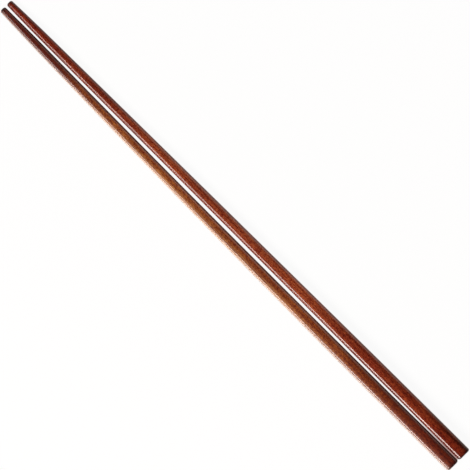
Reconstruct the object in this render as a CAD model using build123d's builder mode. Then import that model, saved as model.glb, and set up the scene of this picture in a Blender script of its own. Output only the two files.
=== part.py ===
from build123d import *
from math import atan2, cos, degrees, sin
import os

# A pair of long wooden chopsticks for cooking, lying side by side on a table.
#
# Each stick is one piece of wood, square in section. Its long middle tapers evenly. Towards the
# handle end the taper eases off, and over the last stretch, the point, it quickens down to a
# blunt tip. One rounding runs along the four long edges from end to end. It leaves wide flats at
# the handle and almost none at the tip, so the handle is a rounded square and the tip is round.
# Both ends are cut square and eased all round.
#
# Millimetres. +X runs from the handles to the tips, +Y is to the left of that, and +Z is up.
# The origin is on the table, below the middle of the pair.

# The stick: its length, and its width at the handle end, at both ends of the taper and at the tip
stick_length = 420.0
handle_length = 100.0
point_length = 42.0
handle_width = 9.75
taper_width = 9.2
point_width = 6.0
tip_width = 4.55

# Its roundings, and the largest share of a width that a rounding may take
long_edge_radius = 2.1
handle_end_radius = 1.2
tip_end_radius = 1.3
rounding_share = 0.48

# How the two sticks lie beside each other, and how far each one bows outwards in the middle
handle_gap = 0.6
tip_gap = 1.5
left_bow = 1.4
right_bow = 0.15

# Worked out from the sizes above
taper_end = stick_length - point_length
taper_angle = atan2((taper_width - point_width) / 2, taper_end - handle_length)
handle_offset = (handle_gap + handle_width) / 2
tip_offset = (tip_gap + tip_width) / 2
toe_in_angle = atan2(handle_offset - tip_offset, stick_length)
edge_radius = min(long_edge_radius, rounding_share * tip_width)
handle_rounding = min(handle_end_radius, 2 * rounding_share * edge_radius)
tip_rounding = min(tip_end_radius, 2 * rounding_share * edge_radius)


def flank_point(distance, width, flank, bow):
    """A point on one flank, some distance from the handle end, carried sideways by the bow."""
    share = distance / stick_length
    return Vector(distance, flank * width / 2 + 4 * bow * share * (1 - share))


def draw_flank(flank, bow):
    """One long side of the outline: the taper, then the handle and the point that carry it on."""
    start = flank_point(handle_length, taper_width, flank, bow)
    end = flank_point(taper_end, point_width, flank, bow)
    if bow:
        middle_distance = (handle_length + taper_end) / 2
        middle_width = (taper_width + point_width) / 2
        middle = flank_point(middle_distance, middle_width, flank, bow)
        taper = ThreePointArc(start, middle, end)
    else:
        taper = Line(start, end)
    handle_pull = taper @ 0 - taper % 0 * handle_length / 2
    Bezier(taper @ 0, handle_pull, Vector(0, flank * handle_width / 2))
    point_pull = taper @ 1 + taper % 1 * point_length / 2
    Bezier(taper @ 1, point_pull, Vector(stick_length, flank * tip_width / 2))


def draw_outline(bow):
    """The outline of the stick, seen from above or from the side, before any edge is rounded."""
    draw_flank(1, bow)
    draw_flank(-1, bow)
    Line((0, handle_width / 2), (0, -handle_width / 2))
    Line((stick_length, tip_width / 2), (stick_length, -tip_width / 2))


def make_chopstick(label, side, bow):
    """One stick, the left one where side is 1 and the right one where it is -1."""
    # The stick lies on the flat of its taper, so its axis dips to the tip, and it toes in
    height = taper_width / 2 * cos(taper_angle) + handle_length * sin(taper_angle)
    handle_centre = Vector(-stick_length / 2, side * handle_offset, height)
    turn = (0, degrees(taper_angle), -side * degrees(toe_in_angle))
    from_above = Plane(handle_centre).rotated(turn, Extrinsic.XYZ)
    from_the_side = Plane(handle_centre, x_dir=from_above.x_dir, z_dir=-from_above.y_dir)
    across = Plane(handle_centre, z_dir=from_above.x_dir)

    with BuildPart() as chopstick:
        # The two outlines, each cut through the other, give the square stick
        with BuildSketch(from_above.offset(-handle_width)):
            with BuildLine():
                draw_outline(side * bow)
            make_face()
        extrude(amount=2 * handle_width)
        with BuildSketch(from_the_side.offset(-handle_width)):
            with BuildLine():
                draw_outline(0)
            make_face()
        extrude(amount=2 * handle_width, mode=Mode.INTERSECT)

        fillet(chopstick.edges().filter_by(across, reverse=True), edge_radius)
        handle_face = chopstick.faces().sort_by(Axis(handle_centre, across.z_dir))[0]
        fillet(handle_face.edges(), handle_rounding)
        tip_face = chopstick.faces().sort_by(Axis(handle_centre, across.z_dir))[-1]
        fillet(tip_face.edges(), tip_rounding)

    chopstick.part.label = label
    return chopstick.part


left_chopstick = make_chopstick("left_chopstick", 1, left_bow)
right_chopstick = make_chopstick("right_chopstick", -1, right_bow)

os.makedirs("parts", exist_ok=True)
for part in (left_chopstick, right_chopstick):
    export_step(part, f"parts/{part.label}.step")
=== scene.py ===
import bpy
import math
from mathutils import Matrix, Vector


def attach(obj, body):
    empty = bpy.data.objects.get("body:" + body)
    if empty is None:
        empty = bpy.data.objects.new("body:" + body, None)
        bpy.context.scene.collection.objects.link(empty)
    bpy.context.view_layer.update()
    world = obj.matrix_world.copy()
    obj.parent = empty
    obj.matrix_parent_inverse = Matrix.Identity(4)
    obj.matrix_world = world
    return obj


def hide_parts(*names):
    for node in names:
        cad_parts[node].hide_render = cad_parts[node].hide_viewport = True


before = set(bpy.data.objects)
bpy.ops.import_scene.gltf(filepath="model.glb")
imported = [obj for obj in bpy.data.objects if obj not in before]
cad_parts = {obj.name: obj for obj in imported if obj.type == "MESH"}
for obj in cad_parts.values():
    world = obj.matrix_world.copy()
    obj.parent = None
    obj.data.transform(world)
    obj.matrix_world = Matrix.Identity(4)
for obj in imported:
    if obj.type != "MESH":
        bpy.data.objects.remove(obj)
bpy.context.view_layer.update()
print("frame loaded with", sorted(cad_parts))

mm = 0.001
quarter = math.pi / 2


# small helpers that both the shape tree and the finishes are built with

def feed(tree, socket, value):
    # a socket takes another node's output or a plain value
    if isinstance(value, bpy.types.NodeSocket):
        tree.links.new(value, socket)
    else:
        socket.default_value = value


def calc(tree, operation, *values):
    node = tree.nodes.new("ShaderNodeMath")
    node.operation = operation
    for socket, value in zip(node.inputs, values):
        feed(tree, socket, value)
    return node.outputs[0]


def remap(tree, value, fromLow, fromHigh, toLow=0.0, toHigh=1.0, how="LINEAR"):
    # carries one range over to another and stops at its ends
    node = tree.nodes.new("ShaderNodeMapRange")
    node.interpolation_type = how
    for socket, number in zip(node.inputs, (value, fromLow, fromHigh, toLow, toHigh)):
        feed(tree, socket, number)
    return node.outputs[0]


def joinAxes(tree, x, y, z):
    node = tree.nodes.new("ShaderNodeCombineXYZ")
    for socket, value in zip(node.inputs, (x, y, z)):
        feed(tree, socket, value)
    return node.outputs[0]


def splitAxes(tree, vector):
    node = tree.nodes.new("ShaderNodeSeparateXYZ")
    tree.links.new(vector, node.inputs[0])
    return node.outputs


def noise(tree, vector, detail=2.0, roughness=0.5):
    node = tree.nodes.new("ShaderNodeTexNoise")
    tree.links.new(vector, node.inputs["Vector"])
    node.inputs["Scale"].default_value = 1.0
    node.inputs["Detail"].default_value = detail
    node.inputs["Roughness"].default_value = roughness
    return node.outputs[0]


# the form of a stick, all in millimetres
stickForm = {
    "Stick Length": 420.0,
    "Handle Length": 100.0,       # where the taper starts to ease off
    "Point Length": 42.0,         # where it quickens towards the tip
    "Handle Width": 9.75,
    "Taper Width": 9.2,
    "Point Width": 6.0,
    "Tip Width": 4.55,
    "Edge Radius": 2.1,           # the same along all four edges
    "Handle End Radius": 1.2,
    "Tip End Radius": 1.3,
    "Unevenness": 0.08,           # how deep the planing and rubbing down has gone
}
stickMesh = {
    "Rings": 520,
    "Handle Arc": 10,             # rings in the rounding of each end
    "Tip Arc": 10,
    "Corner Steps": 9,            # round one corner, and across one flat
    "Flat Steps": 5,
}
# an end face has its middle and one ring, at this reach, before its rounding starts
endFace = {"rings": 2.0, "reach": 0.88}
# how often the hollows left by planing repeat in a metre, along the stick and across it
hollows = {"long": (14.0, 110.0), "short": (60.0, 240.0), "shortShare": 0.25}

# the flats are rubbed down towards the edges, by the crown's share of their width
leftStick = {
    "name": "left_stick",
    "node": "left_chopstick",
    "side": 1,                    # of the middle of the pair
    "bow": 1.4,                   # outwards in the middle, in millimetres
    "crown": 0.032,
    "seed": 3.1,
}
rightStick = {
    "name": "right_stick",
    "node": "right_chopstick",
    "side": -1,
    "bow": 0.15,
    "crown": 0.015,
    "seed": 8.6,
}

pairGaps = {"handles": 0.6, "tips": 1.5}
# how far out a stick's own middle line lies, at both ends
handleSide = (pairGaps["handles"] + stickForm["Handle Width"]) / 2
tipSide = (pairGaps["tips"] + stickForm["Tip Width"]) / 2


def askFor(tree, kind, names):
    for name in names:
        tree.interface.new_socket(name, in_out="INPUT", socket_type=kind)


def workOn(tree, kind, solid, **values):
    # one more step on the solid, which goes into a node's first input
    node = tree.nodes.new(kind)
    tree.links.new(solid, node.inputs[0])
    for name, value in values.items():
        feed(tree, node.inputs[name], value)
    return node.outputs[0]


def placeRings(tree, given, lengthwise):
    # how far along a ring lies, how far an end's rounding draws it in, and how far it is spread out
    lastRing = calc(tree, "SUBTRACT", given["Rings"], 1.0)
    ring = calc(tree, "ROUND", calc(tree, "MULTIPLY", calc(tree, "ADD", lengthwise, 0.5), lastRing))
    ringsLeft = calc(tree, "SUBTRACT", lastRing, ring)
    handleRings = calc(tree, "ADD", given["Handle Arc"], endFace["rings"])
    tipRings = calc(tree, "ADD", given["Tip Arc"], endFace["rings"])
    handleTurn = remap(tree, ring, endFace["rings"], handleRings, 0.0, quarter)
    tipTurn = remap(tree, ringsLeft, endFace["rings"], tipRings, 0.0, quarter)
    along = remap(tree, ring, handleRings, calc(tree, "SUBTRACT", lastRing, tipRings))
    handleRadius = given["Handle End Radius"]
    tipRadius = given["Tip End Radius"]

    def shortOf(radius, wave, turn):
        return calc(tree, "MULTIPLY", radius, calc(tree, "SUBTRACT", 1.0, calc(tree, wave, turn)))

    pastHandle = calc(tree, "SUBTRACT", given["Stick Length"], handleRadius)
    bodyLength = calc(tree, "SUBTRACT", pastHandle, tipRadius)
    body = calc(tree, "MULTIPLY_ADD", along, bodyLength, shortOf(handleRadius, "COSINE", handleTurn))
    distance = calc(tree, "ADD", body, calc(tree, "MULTIPLY", tipRadius, calc(tree, "COSINE", tipTurn)))
    handleInset = shortOf(handleRadius, "SINE", handleTurn)
    inset = calc(tree, "ADD", handleInset, shortOf(tipRadius, "SINE", tipTurn))
    nearestEnd = calc(tree, "MINIMUM", ring, ringsLeft)
    onFace = remap(tree, nearestEnd, 1.0, endFace["rings"], endFace["reach"], 1.0)
    spread = calc(tree, "MULTIPLY", calc(tree, "MINIMUM", nearestEnd, 1.0), onFace)
    return distance, inset, spread


def taperedHalf(tree, given, distance):
    # half the width: an even taper, eased at the handle and quickened at the point
    length = given["Stick Length"]
    pastHandle = calc(tree, "SUBTRACT", length, given["Handle Length"])
    taperLength = calc(tree, "SUBTRACT", pastHandle, given["Point Length"])
    narrowed = calc(tree, "SUBTRACT", given["Taper Width"], given["Point Width"])
    slope = calc(tree, "DIVIDE", calc(tree, "MULTIPLY", narrowed, 0.5), taperLength)
    halfTaper = calc(tree, "MULTIPLY", given["Taper Width"], 0.5)

    def onTaper(position):
        fromStart = calc(tree, "SUBTRACT", given["Handle Length"], position)
        return calc(tree, "MULTIPLY_ADD", slope, fromStart, halfTaper)

    def takenOff(end, width, share):
        atTheEnd = calc(tree, "SUBTRACT", onTaper(end), calc(tree, "MULTIPLY", width, 0.5))
        return calc(tree, "MULTIPLY", atTheEnd, calc(tree, "POWER", share, 2.0))

    handleShare = remap(tree, distance, given["Handle Length"], 0.0)
    pointShare = remap(tree, distance, calc(tree, "SUBTRACT", length, given["Point Length"]), length)
    handleCut = takenOff(0.0, given["Handle Width"], handleShare)
    pointCut = takenOff(length, given["Tip Width"], pointShare)
    return calc(tree, "SUBTRACT", calc(tree, "SUBTRACT", onTaper(distance), handleCut), pointCut)


def roundSection(tree, given, around, halfWidth, inset, spread):
    # once round the section: a corner, then the flat to the next corner, four times
    hair = 0.001                  # stops rounding errors at the seams
    edgeRadius = given["Edge Radius"]
    stepsPerSide = calc(tree, "ADD", given["Corner Steps"], given["Flat Steps"])
    turnsDone = calc(tree, "MULTIPLY", calc(tree, "FRACT", calc(tree, "ADD", around, 0.5)), 4.0)
    side = calc(tree, "FLOOR", calc(tree, "ADD", turnsDone, hair))
    sideShare = calc(tree, "MAXIMUM", calc(tree, "SUBTRACT", turnsDone, side), 0.0)
    cornerShare = calc(tree, "DIVIDE", given["Corner Steps"], stepsPerSide)
    onCorner = remap(tree, sideShare, 0.0, cornerShare)
    onFlat = remap(tree, sideShare, cornerShare, 1.0)
    isFlat = calc(tree, "GREATER_THAN", onFlat, hair)
    cornerAngle = calc(tree, "MULTIPLY", calc(tree, "ADD", side, 0.5), quarter)
    nextAngle = calc(tree, "ADD", cornerAngle, quarter)

    # a flat is slightly crowned, and falls off to both sides as far as its slope there says
    flatInner = calc(tree, "SUBTRACT", halfWidth, edgeRadius)
    flatReach = calc(tree, "MULTIPLY", flatInner, math.sqrt(2))
    crown = calc(tree, "MULTIPLY", calc(tree, "MULTIPLY", flatInner, 2.0), given["Crown Share"])
    offMiddle = calc(tree, "MULTIPLY_ADD", onFlat, 2.0, -1.0)
    lowered = calc(tree, "MULTIPLY", calc(tree, "POWER", calc(tree, "ABSOLUTE", offMiddle), 2.0), crown)
    flatRadius = calc(tree, "SUBTRACT", calc(tree, "SUBTRACT", edgeRadius, inset), lowered)
    flatAngle = calc(tree, "MULTIPLY", calc(tree, "ADD", side, 1.0), quarter)

    # a corner carries on from the slope of one flat to the slope of the next
    crownSlope = calc(tree, "ARCTANGENT", calc(tree, "MULTIPLY", given["Crown Share"], 4.0))
    sineSlope = calc(tree, "SINE", crownSlope)
    widened = calc(tree, "SUBTRACT", calc(tree, "COSINE", crownSlope), sineSlope)
    cornerRadius = calc(tree, "DIVIDE", calc(tree, "SUBTRACT", edgeRadius, crown), widened)
    cornerInner = calc(tree, "SUBTRACT", flatInner, calc(tree, "MULTIPLY", cornerRadius, sineSlope))
    cornerReach = calc(tree, "MULTIPLY", cornerInner, math.sqrt(2))
    cornerTurn = calc(tree, "MULTIPLY_ADD", crownSlope, -2.0, quarter)
    cornerStart = calc(tree, "MULTIPLY_ADD", side, quarter, crownSlope)
    roundAngle = calc(tree, "MULTIPLY_ADD", onCorner, cornerTurn, cornerStart)
    roundRadius = calc(tree, "SUBTRACT", cornerRadius, inset)

    def across(wave):
        here = calc(tree, wave, cornerAngle)
        there = calc(tree, wave, nextAngle)
        flatCentre = calc(tree, "MULTIPLY", remap(tree, onFlat, 0.0, 1.0, here, there), flatReach)
        onTheFlat = calc(tree, "MULTIPLY_ADD", calc(tree, wave, flatAngle), flatRadius, flatCentre)
        cornerCentre = calc(tree, "MULTIPLY", here, cornerReach)
        onTheCorner = calc(tree, "MULTIPLY_ADD", calc(tree, wave, roundAngle), roundRadius, cornerCentre)
        return calc(tree, "MULTIPLY", remap(tree, isFlat, 0.0, 1.0, onTheCorner, onTheFlat), spread)

    return across("COSINE"), across("SINE")


def rubDown(tree, given, solid):
    # the faces are never quite true: long shallow hollows, and shorter ones where it was rubbed down
    spot = splitAxes(tree, tree.nodes.new("GeometryNodeInputPosition").outputs[0])

    def waves(lengthwise, crosswise):
        x = calc(tree, "MULTIPLY_ADD", spot[0], lengthwise, given["Seed"])
        y = calc(tree, "MULTIPLY", spot[1], crosswise)
        z = calc(tree, "MULTIPLY", spot[2], crosswise)
        return noise(tree, joinAxes(tree, x, y, z))

    longPart = calc(tree, "MULTIPLY", waves(*hollows["long"]), 1.0 - hollows["shortShare"])
    hollow = calc(tree, "MULTIPLY_ADD", waves(*hollows["short"]), hollows["shortShare"], longPart)
    depth = calc(tree, "MULTIPLY", calc(tree, "MULTIPLY", hollow, given["Unevenness"]), -1.0)
    inwards = tree.nodes.new("ShaderNodeVectorMath")
    inwards.operation = "SCALE"
    tree.links.new(tree.nodes.new("GeometryNodeInputNormal").outputs[0], inwards.inputs[0])
    tree.links.new(depth, inwards.inputs["Scale"])
    return workOn(tree, "GeometryNodeSetPosition", solid, Offset=inwards.outputs[0])


def makeStickTree():
    # rings of points along a rounded square that shrinks to a round tip, closed at both ends
    tree = bpy.data.node_groups.new("tapered stick", "GeometryNodeTree")
    tree.is_modifier = True
    askFor(tree, "NodeSocketGeometry", ["Geometry"])
    askFor(tree, "NodeSocketFloat", stickForm)
    askFor(tree, "NodeSocketInt", stickMesh)
    askFor(tree, "NodeSocketFloat", ["Crown Share", "Bow", "Seed"])
    askFor(tree, "NodeSocketVector", ["Place", "Turn"])
    askFor(tree, "NodeSocketMaterial", ["Finish"])
    tree.interface.new_socket("Geometry", in_out="OUTPUT", socket_type="NodeSocketGeometry")
    given = tree.nodes.new("NodeGroupInput").outputs

    # a flat sheet, rings one way and points around the stick the other
    sheet = tree.nodes.new("GeometryNodeMeshGrid")
    sheet.inputs["Size X"].default_value = 1.0
    sheet.inputs["Size Y"].default_value = 1.0
    stepsPerSide = calc(tree, "ADD", given["Corner Steps"], given["Flat Steps"])
    pointsAround = calc(tree, "MULTIPLY_ADD", stepsPerSide, 4.0, 1.0)
    tree.links.new(given["Rings"], sheet.inputs["Vertices X"])
    tree.links.new(pointsAround, sheet.inputs["Vertices Y"])
    onSheet = splitAxes(tree, tree.nodes.new("GeometryNodeInputPosition").outputs[0])

    # it is rolled up, bowed, closed and rubbed down, then laid in its place
    distance, inset, spread = placeRings(tree, given, onSheet[0])
    halfWidth = taperedHalf(tree, given, distance)
    sideways, upwards = roundSection(tree, given, onSheet[1], halfWidth, inset, spread)
    lengthShare = calc(tree, "DIVIDE", distance, given["Stick Length"])
    shareLeft = calc(tree, "SUBTRACT", 1.0, lengthShare)
    bulge = calc(tree, "MULTIPLY", calc(tree, "MULTIPLY", lengthShare, shareLeft), 4.0)
    sideways = calc(tree, "MULTIPLY_ADD", bulge, given["Bow"], sideways)
    rolled = joinAxes(tree, distance, sideways, upwards)
    solid = workOn(tree, "GeometryNodeSetPosition", sheet.outputs["Mesh"], Position=rolled)
    solid = workOn(tree, "GeometryNodeMergeByDistance", solid, Distance=0.001 * mm)
    solid = workOn(tree, "GeometryNodeFlipFaces", solid)
    solid = rubDown(tree, given, solid)
    solid = workOn(tree, "GeometryNodeTransform", solid, Translation=given["Place"], Rotation=given["Turn"])
    solid = workOn(tree, "GeometryNodeSetShadeSmooth", solid)
    solid = workOn(tree, "GeometryNodeRealizeInstances", solid)
    solid = workOn(tree, "GeometryNodeSetMaterial", solid, Material=given["Finish"])
    tree.links.new(solid, tree.nodes.new("NodeGroupOutput").inputs[0])
    return tree


# the wood under the lacquer, in linear colour
rightWood = {
    "name": "red-brown lacquered wood",
    "handle": (0.148, 0.0140, 0.0034),
    "middle": (0.228, 0.0400, 0.0130),
    "tip": (0.160, 0.0170, 0.0060),
    "tipFrom": 0.06,
    "patch": (0.120, 0.0070, 0.0040),     # darker, wine red
    "glow": (0.340, 0.0640, 0.0180),      # where the light goes deeper
    "offset": (0.74, 0.012, 0.027),
    "slant": (0.0, 0.006, 0.011),         # the grain doesn't run quite true
    "paintedShadeSide": (0.20, 0.26, 0.38),       # painted shade: what the tones are multiplied by on the half away from the lamps
    # painted light: what the tones are multiplied by on the half towards the lamps
    "paintedLightSide": (1.0, 1.0, 1.1),
    "paintedShadeFade": (-0.192, -0.162, 1.0, 0.5),   # all of the painted shade at the handle, half from there on
    # painted shade on the edges seen at a slant
    "paintedSlantShade": (0.85, 0.55, 0.50),
    "paintedHighlight": 0.0,                          # how strong the painted highlight on its upper outer edge is
    "coatRoughness": 0.20,
}
leftWood = {
    "name": "orange-brown lacquered wood",
    "handle": (0.128, 0.0160, 0.0018),
    "middle": (0.212, 0.0450, 0.0064),
    "tip": (0.088, 0.0105, 0.0038),
    "tipFrom": 0.09,
    "patch": (0.120, 0.0120, 0.0050),
    "glow": (0.330, 0.0950, 0.0250),
    "offset": (-0.17, 0.043, 0.009),
    "slant": (0.0, -0.008, 0.007),
    # painted shade and painted light on its two halves, painted shade at a slant, and a painted highlight on
    # its upper outer edge
    "paintedShadeSide": (0.24, 0.155, 0.05),
    "paintedLightSide": (1.40, 2.65, 5.8),
    "paintedShadeFade": (-0.192, -0.04, 1.0, 0.5),
    "paintedSlantShade": (0.80, 0.82, 0.74),
    "paintedHighlight": 0.85,
    "coatRoughness": 0.27,
}
# what both woods share. Places are in metres, along the pair from its middle and across a stick
# from its own middle. A range gives a start and an end, and then its worth at each
tones = {
    "handleTo": -0.02,
    "tipTo": 0.17,
    # painted shade on the half of a stick away from the lamps
    "paintedShadeHalf": (0.0012, -0.0032),
    # painted light on the half of a stick towards the lamps, fading towards the handle and the tip
    "paintedLitHalf": (0.0003, 0.0036),
    "paintedLightFromHandle": (-0.12, -0.02, 0.28, 1.0),
    "paintedLightToTip": (0.125, 0.19, 1.0, 0.2),
}
# the marks of the grain, repeated so many times in a metre along the stick and across it
marks = {
    "cloud": {"repeats": (16.0, 90.0), "detail": 3.0, "roughness": 0.55,
              "patch": (0.50, 0.66, 0.0, 0.5), "glow": (0.46, 0.34, 0.0, 0.35)},
    "streak": {"repeats": (7.0, 900.0), "detail": 5.0, "roughness": 0.62,
               "red": (0.32, 0.68, 0.62, 1.36), "rest": (0.32, 0.68, 0.42, 1.60)},
    "fleck": {"repeats": (620.0, 1350.0), "detail": 3.0, "roughness": 0.65,
              "red": (0.32, 0.68, 0.44, 1.56), "rest": (0.33, 0.68, 0.08, 1.95),
              "calm": (0.2, 1.0, 1.0, 0.45)},
    "pore": {"repeats": (75.0, 4200.0), "detail": 2.0, "roughness": 0.5,
             "range": (0.60, 0.68), "strength": 0.55, "colour": (0.022, 0.0045, 0.003)},
    "ripple": {"repeats": (120.0, 420.0), "detail": 2.0, "roughness": 0.5},
}
# an end is cut across the grain, and soaked so many millimetres deep
endGrain = {"turned": (0.05, 0.40), "soaked": (3.5, 0.8, 0.0, 0.6), "colour": (0.16, 0.13, 0.16)}
lacquer = {
    "coat": 1.0,
    "coatIor": 1.55,
    "woodRoughness": 0.42,
    "roughnessSpread": 0.08,
    "roughnessFrom": (0.3, 0.7),          # by the streaks
    # where the painted shade on edges seen at a slant starts and ends
    "slantShadeFrom": (0.05, 0.45),
    # the colour of the painted highlight, and how far up the surface faces where it starts and ends
    "paintedHighlight": (0.72, 0.65, 0.58),
    "paintedHighlightFrom": (0.86, 0.32),             # by how far up the surface faces
    "paintedHighlightTo": (0.10, 0.28),
}
relief = {
    "woodStrength": 0.35,
    "woodDepth": 0.05,                    # in millimetres
    "streaks": 0.6,
    "coatStrength": 0.05,
    "coatDepth": 0.02,
    "poresInCoat": -0.15,
}


def mixColour(tree, how, share, first, second):
    # of a Mix node's sockets, 6 and 7 are the colours and output 2 is their mix
    node = tree.nodes.new("ShaderNodeMix")
    node.data_type = "RGBA"
    node.blend_type = how
    feed(tree, node.inputs[0], share)
    for socket, colour in ((node.inputs[6], first), (node.inputs[7], second)):
        feed(tree, socket, (*colour, 1.0) if isinstance(colour, tuple) else colour)
    return node.outputs[2]


def stretched(tree, vector, mark):
    # a pattern drawn out along the stick
    lengthwise, crosswise = mark["repeats"]
    node = tree.nodes.new("ShaderNodeMapping")
    tree.links.new(vector, node.inputs["Vector"])
    node.inputs["Scale"].default_value = (lengthwise, crosswise, crosswise)
    return noise(tree, node.outputs[0], mark["detail"], mark["roughness"])


def besideMiddle(tree, along, sideways, stick):
    # how far to the left of the stick's own middle line, which toes in
    toeIn = stick["side"] * (handleSide - tipSide) / stickForm["Stick Length"]
    middleSide = stick["side"] * (handleSide + tipSide) / 2 * mm
    return calc(tree, "SUBTRACT", calc(tree, "MULTIPLY_ADD", along, toeIn, sideways), middleSide)


def plainTones(tree, wood, along, acrossStick, paintedLightShare):
    # the tone changes along the stick; painted shade darkens the half away from the lamps, and painted light
    # lightens the half towards them
    halfLength = stickForm["Stick Length"] * mm / 2
    pastHandle = remap(tree, along, -halfLength, tones["handleTo"], how="SMOOTHSTEP")
    colour = mixColour(tree, "MIX", pastHandle, wood["handle"], wood["middle"])
    nearTip = remap(tree, along, wood["tipFrom"], tones["tipTo"], how="SMOOTHSTEP")
    colour = mixColour(tree, "MIX", nearTip, colour, wood["tip"])
    # painted shade on the half away from the lamps, then painted light on the half towards them
    paintedShadeHalf = remap(tree, acrossStick, *tones["paintedShadeHalf"])
    paintedShadeShare = calc(tree, "MULTIPLY", paintedShadeHalf, remap(tree, along, *wood["paintedShadeFade"]))
    colour = mixColour(tree, "MULTIPLY", paintedShadeShare, colour, wood["paintedShadeSide"])
    return mixColour(tree, "MULTIPLY", paintedLightShare, colour, wood["paintedLightSide"])


def shadeBy(tree, colour, pattern, mark):
    # red changes less than green and blue do
    red = remap(tree, pattern, *mark["red"])
    rest = remap(tree, pattern, *mark["rest"])
    return mixColour(tree, "MULTIPLY", 1.0, colour, joinAxes(tree, red, rest, rest))


def grainMarks(tree, wood, grain, colour, streaks, pores, paintedLightShare):
    # long cloudy patches, then the streaks of the grain, then fine flecks, calmer where painted light
    # lightens the half towards the lamps
    cloud = stretched(tree, grain, marks["cloud"])
    colour = mixColour(tree, "MIX", remap(tree, cloud, *marks["cloud"]["patch"]), colour, wood["patch"])
    colour = mixColour(tree, "MIX", remap(tree, cloud, *marks["cloud"]["glow"]), colour, wood["glow"])
    colour = shadeBy(tree, colour, streaks, marks["streak"])
    flecks = calc(tree, "SUBTRACT", stretched(tree, grain, marks["fleck"]), 0.5)
    flecks = calc(tree, "MULTIPLY", flecks, remap(tree, paintedLightShare, *marks["fleck"]["calm"]))
    colour = shadeBy(tree, colour, calc(tree, "ADD", flecks, 0.5), marks["fleck"])

    # pores are short dark lines, filled by the lacquer
    poreShare = calc(tree, "MULTIPLY", pores, marks["pore"]["strength"])
    return mixColour(tree, "MIX", poreShare, colour, marks["pore"]["colour"])


def soakEnds(tree, colour, along, facing):
    # the ends drink more of the lacquer
    halfLength = stickForm["Stick Length"] * mm / 2
    deep, shallow, none, full = endGrain["soaked"]
    turned = remap(tree, calc(tree, "ABSOLUTE", facing[0]), *endGrain["turned"])
    nearEnd = calc(tree, "ABSOLUTE", along)
    soaked = remap(tree, nearEnd, halfLength - deep * mm, halfLength - shallow * mm, none, full)
    return mixColour(tree, "MULTIPLY", calc(tree, "MAXIMUM", turned, soaked), colour, endGrain["colour"])


def paintEdgeShadeAndHighlight(tree, wood, colour, paintedLitHalf, facing):
    # painted shade: the colour darkens where the surface is seen at a slant, along the rounded edges
    slant = tree.nodes.new("ShaderNodeLayerWeight").outputs["Facing"]
    colour = mixColour(tree, "MULTIPLY", remap(tree, slant, *lacquer["slantShadeFrom"]), colour, wood["paintedSlantShade"])

    # a painted highlight: a pale veil on the rounding of the upper edge, on the half towards the lamps,
    # between the flat and the upright side
    paintedHighlight = calc(tree, "MULTIPLY", remap(tree, facing[2], *lacquer["paintedHighlightFrom"], 0.0, wood["paintedHighlight"]), paintedLitHalf)
    paintedHighlight = calc(tree, "MULTIPLY", paintedHighlight, remap(tree, facing[2], *lacquer["paintedHighlightTo"]))
    return mixColour(tree, "MIX", paintedHighlight, colour, lacquer["paintedHighlight"])


def bump(tree, height, strength, depth):
    node = tree.nodes.new("ShaderNodeBump")
    node.inputs["Strength"].default_value = strength
    node.inputs["Distance"].default_value = depth * mm
    tree.links.new(height, node.inputs["Height"])
    return node.outputs[0]


def makeWood(wood, stick):
    material = bpy.data.materials.new(wood["name"])
    material.use_nodes = True
    tree = material.node_tree
    here = tree.nodes.new("ShaderNodeTexCoord").outputs["Object"]
    spot = splitAxes(tree, here)
    along = spot[0]
    acrossStick = besideMiddle(tree, along, spot[1], stick)
    # painted light on the half of the stick towards the lamps, fading towards the handle and the tip
    paintedLitHalf = remap(tree, acrossStick, *tones["paintedLitHalf"])
    paintedLightShare = calc(tree, "MULTIPLY", paintedLitHalf, remap(tree, along, *tones["paintedLightFromHandle"]))
    paintedLightShare = calc(tree, "MULTIPLY", paintedLightShare, remap(tree, along, *tones["paintedLightToTip"]))
    facing = splitAxes(tree, tree.nodes.new("ShaderNodeNewGeometry").outputs["Normal"])

    turned = tree.nodes.new("ShaderNodeMapping")
    tree.links.new(here, turned.inputs["Vector"])
    turned.inputs["Location"].default_value = wood["offset"]
    turned.inputs["Rotation"].default_value = wood["slant"]
    grain = turned.outputs[0]
    streaks = stretched(tree, grain, marks["streak"])
    pores = remap(tree, stretched(tree, grain, marks["pore"]), *marks["pore"]["range"])

    colour = plainTones(tree, wood, along, acrossStick, paintedLightShare)
    colour = grainMarks(tree, wood, grain, colour, streaks, pores, paintedLightShare)
    colour = soakEnds(tree, colour, along, facing)
    colour = paintEdgeShadeAndHighlight(tree, wood, colour, paintedLitHalf, facing)

    # the pores sink a little, and the lacquer over them has a faint ripple
    woodHeight = calc(tree, "MULTIPLY_ADD", pores, -1.0, calc(tree, "MULTIPLY", streaks, relief["streaks"]))
    ripple = stretched(tree, grain, marks["ripple"])
    coatHeight = calc(tree, "MULTIPLY_ADD", pores, relief["poresInCoat"], ripple)
    rougher = lacquer["woodRoughness"] + lacquer["roughnessSpread"]
    smoother = lacquer["woodRoughness"] - lacquer["roughnessSpread"]
    looks = {
        "Base Color": colour,
        "Roughness": remap(tree, streaks, *lacquer["roughnessFrom"], rougher, smoother),
        "Specular IOR Level": 0.0,
        "Normal": bump(tree, woodHeight, relief["woodStrength"], relief["woodDepth"]),
        "Coat Weight": lacquer["coat"],
        "Coat Roughness": wood["coatRoughness"],
        "Coat IOR": lacquer["coatIor"],
        "Coat Normal": bump(tree, coatHeight, relief["coatStrength"], relief["coatDepth"]),
    }
    for name, value in looks.items():
        feed(tree, tree.nodes["Principled BSDF"].inputs[name], value)
    return material


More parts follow.
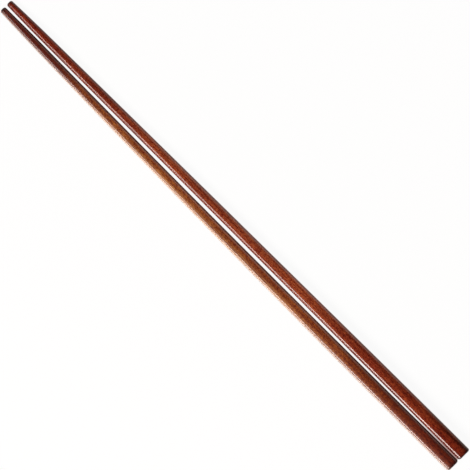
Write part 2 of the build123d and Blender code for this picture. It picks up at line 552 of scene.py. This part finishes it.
def makeStick(tree, stick, finish):
    # the stick lies on the flat of its taper, so its middle line dips to the tip, and it toes in
    form = stickForm
    taperLength = form["Stick Length"] - form["Handle Length"] - form["Point Length"]
    dip = math.atan2((form["Taper Width"] - form["Point Width"]) / 2, taperLength)
    toeIn = math.atan2(handleSide - tipSide, form["Stick Length"])
    height = form["Taper Width"] / 2 * math.cos(dip) + form["Handle Length"] * math.sin(dip)
    wanted = {name: size * mm for name, size in form.items()}
    wanted.update(stickMesh)
    wanted["Crown Share"] = stick["crown"]
    wanted["Bow"] = stick["side"] * stick["bow"] * mm
    wanted["Seed"] = stick["seed"]
    wanted["Place"] = (-form["Stick Length"] / 2 * mm, stick["side"] * handleSide * mm, height * mm)
    wanted["Turn"] = (0.0, dip, -stick["side"] * toeIn)
    wanted["Finish"] = finish

    piece = bpy.data.objects.new(stick["name"], bpy.data.meshes.new(stick["name"]))
    bpy.context.scene.collection.objects.link(piece)
    shaping = piece.modifiers.new("stick", "NODES")
    shaping.node_group = tree
    for item in tree.interface.items_tree:
        if item.in_out == "INPUT" and item.name in wanted:
            shaping[item.identifier] = wanted[item.name]
    depsgraph = bpy.context.evaluated_depsgraph_get()
    solid = bpy.data.meshes.new_from_object(piece.evaluated_get(depsgraph), depsgraph=depsgraph)
    piece.modifiers.clear()
    piece.data = solid
    solid.name = stick["name"]
    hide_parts(stick["node"])
    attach(piece, "root")
    print(stick["name"], "made with", len(solid.polygons), "faces")


stickTree = makeStickTree()
makeStick(stickTree, rightStick, makeWood(rightWood, rightStick))
makeStick(stickTree, leftStick, makeWood(leftWood, leftStick))


# a white table, wide enough to reach the horizon in low views, in metres
table = {
    "reach": 14.0,
    "white": (0.86, 0.86, 0.85),
    "ownGlow": 0.94,
    "mirroredGlow": 0.9,
    "warm": (1.0, 0.84, 0.78),            # what the lacquer mirrors
    "glowFade": (0.35, 0.9),
}
# the strip of table between the handles, which little light gets down to, in metres
gapShade = {
    "from": -0.166,
    "to": -0.200,
    "end": -0.2095,
    "reach": 0.003,
    "softness": 0.001,
    "colour": (0.46, 0.30, 0.28),         # reddened by the handles
}
plainWhite = (1.0, 1.0, 1.0)


def lookedAt(tree, mirrored):
    # 1 for what is seen directly, some of that in a reflection, and 0 for the light that falls on things
    path = tree.nodes.new("ShaderNodeLightPath").outputs
    straight = calc(tree, "MAXIMUM", path["Is Camera Ray"], path["Is Transmission Ray"])
    inMirror = calc(tree, "MULTIPLY", path["Is Glossy Ray"], mirrored)
    return calc(tree, "MAXIMUM", straight, inMirror), straight


def betweenHandles(tree, spot):
    soft = gapShade["softness"]
    lengthwise = remap(tree, spot[0], gapShade["from"], gapShade["to"])
    offMiddle = calc(tree, "ABSOLUTE", spot[1])
    crosswise = remap(tree, offMiddle, gapShade["reach"] + soft, gapShade["reach"])
    shade = calc(tree, "MULTIPLY", lengthwise, crosswise)
    beforeEnd = remap(tree, spot[0], gapShade["end"] - soft, gapShade["end"])
    return calc(tree, "MULTIPLY", shade, beforeEnd)


def makeTable():
    reach = table["reach"]
    corners = [(-reach, -reach, 0), (reach, -reach, 0), (reach, reach, 0), (-reach, reach, 0)]
    mesh = bpy.data.meshes.new("table_top")
    mesh.from_pydata(corners, [], [(0, 1, 2, 3)])
    top = bpy.data.objects.new("table_top", mesh)
    bpy.context.scene.collection.objects.link(top)
    material = bpy.data.materials.new("white table")
    material.use_nodes = True
    tree = material.node_tree
    tree.nodes.clear()
    paint = tree.nodes.new("ShaderNodeBsdfDiffuse")
    paint.inputs["Color"].default_value = (*table["white"], 1.0)
    seen, straight = lookedAt(tree, table["mirroredGlow"])
    spot = splitAxes(tree, tree.nodes.new("ShaderNodeTexCoord").outputs["Object"])
    glowColour = mixColour(tree, "MIX", straight, table["warm"], plainWhite)
    glowColour = mixColour(tree, "MULTIPLY", betweenHandles(tree, spot), glowColour, gapShade["colour"])
    glow = tree.nodes.new("ShaderNodeEmission")
    glow.inputs["Strength"].default_value = 1.0
    tree.links.new(glowColour, glow.inputs["Color"])

    # its own glow turns full white away from the pair, where no shadow falls
    squares = calc(tree, "MULTIPLY_ADD", spot[0], spot[0], calc(tree, "MULTIPLY", spot[1], spot[1]))
    away = calc(tree, "SQRT", squares)
    ownGlow = remap(tree, away, *table["glowFade"], table["ownGlow"], 1.0, how="SMOOTHSTEP")
    mixed = tree.nodes.new("ShaderNodeMixShader")
    tree.links.new(calc(tree, "MULTIPLY", seen, ownGlow), mixed.inputs[0])
    tree.links.new(paint.outputs[0], mixed.inputs[1])
    tree.links.new(glow.outputs[0], mixed.inputs[2])
    out = tree.nodes.new("ShaderNodeOutputMaterial")
    tree.links.new(mixed.outputs[0], out.inputs["Surface"])
    mesh.materials.append(material)


makeTable()
print("table made")

# a pale room that is dark overhead, and long soft lamps beside the pair
room = {
    "wallLight": 0.14,
    "overhead": 0.02,
    "wallFade": (0.42, 0.80),             # from the walls to overhead
    "mirroredGlow": 0.7,
    "warm": (1.0, 0.84, 0.76),
}
# each hangs so many degrees off straight above, towards the left stick, in metres and watts
lamps = [
    {"name": "long lamp", "off": 39.0, "distance": 2.0, "shift": -0.05,
     "length": 1.25, "width": 0.75, "watts": 34.5, "colour": (1.0, 0.93, 0.88)},
    {"name": "handle lamp", "off": 36.0, "distance": 2.0, "shift": -0.45,
     "length": 0.55, "width": 0.8, "watts": 17.0, "colour": (1.0, 0.93, 0.88)},
    {"name": "low lamp", "off": 86.0, "distance": 1.9, "shift": -0.05,
     "length": 1.1, "width": 0.32, "watts": 24.0, "colour": (1.0, 0.93, 0.88)},
    {"name": "far wall", "off": -48.0, "distance": 1.9, "shift": 0.0,
     "length": 0.62, "width": 1.9, "watts": 6.5, "colour": (1.0, 0.70, 0.58)},
]


def makeRoom():
    world = bpy.data.worlds.new("pale room")
    bpy.context.scene.world = world
    world.use_nodes = True
    tree = world.node_tree
    background = tree.nodes["Background"]
    height = splitAxes(tree, tree.nodes.new("ShaderNodeTexCoord").outputs["Generated"])[2]
    wall = remap(tree, height, *room["wallFade"], 1.0, room["overhead"], how="SMOOTHSTEP")
    seen, straight = lookedAt(tree, room["mirroredGlow"])
    tone = calc(tree, "MAXIMUM", wall, straight)
    colour = mixColour(tree, "MIX", straight, room["warm"], plainWhite)
    colour = mixColour(tree, "MULTIPLY", 1.0, colour, joinAxes(tree, tone, tone, tone))
    tree.links.new(colour, background.inputs["Color"])
    tree.links.new(remap(tree, seen, 0.0, 1.0, room["wallLight"], 1.0), background.inputs["Strength"])


def makeLamp(lamp):
    light = bpy.data.lights.new(lamp["name"], "AREA")
    light.shape = "RECTANGLE"
    light.size = lamp["length"]
    light.size_y = lamp["width"]
    light.energy = lamp["watts"]
    light.color = lamp["colour"]
    off = math.radians(lamp["off"])
    body = bpy.data.objects.new(lamp["name"], light)
    body.location = (lamp["shift"], lamp["distance"] * math.sin(off), lamp["distance"] * math.cos(off))
    body.rotation_euler = (-off, 0.0, 0.0)
    body.visible_camera = False
    bpy.context.scene.collection.objects.link(body)


makeRoom()
for lamp in lamps:
    makeLamp(lamp)
print("room and", len(lamps), "lamps made")

# straight down on the pair, turned so that the tips point to the upper left of the picture,
# in millimetres and degrees
view = {
    "lens": 180.0,
    "sensor": 36.0,
    "pictureWidth": 307.5,
    "middle": (-2.44, -0.42, 4.6),
    "turn": -134.91,
    "nearest": 50.0,
    "farthest": 50000.0,
}


def makeCamera():
    data = bpy.data.cameras.new("camera")
    data.lens = view["lens"]
    data.sensor_width = view["sensor"]
    data.clip_start = view["nearest"] * mm
    data.clip_end = view["farthest"] * mm
    camera = bpy.data.objects.new("camera", data)
    distance = view["pictureWidth"] * view["lens"] / view["sensor"]
    camera.location = (Vector(view["middle"]) + Vector((0, 0, distance))) * mm
    camera.rotation_euler = (0.0, 0.0, math.radians(view["turn"]))
    bpy.context.scene.collection.objects.link(camera)
    bpy.context.scene.camera = camera


makeCamera()
print("camera set above the pair")

bpy.context.scene.view_settings.view_transform = "Standard"
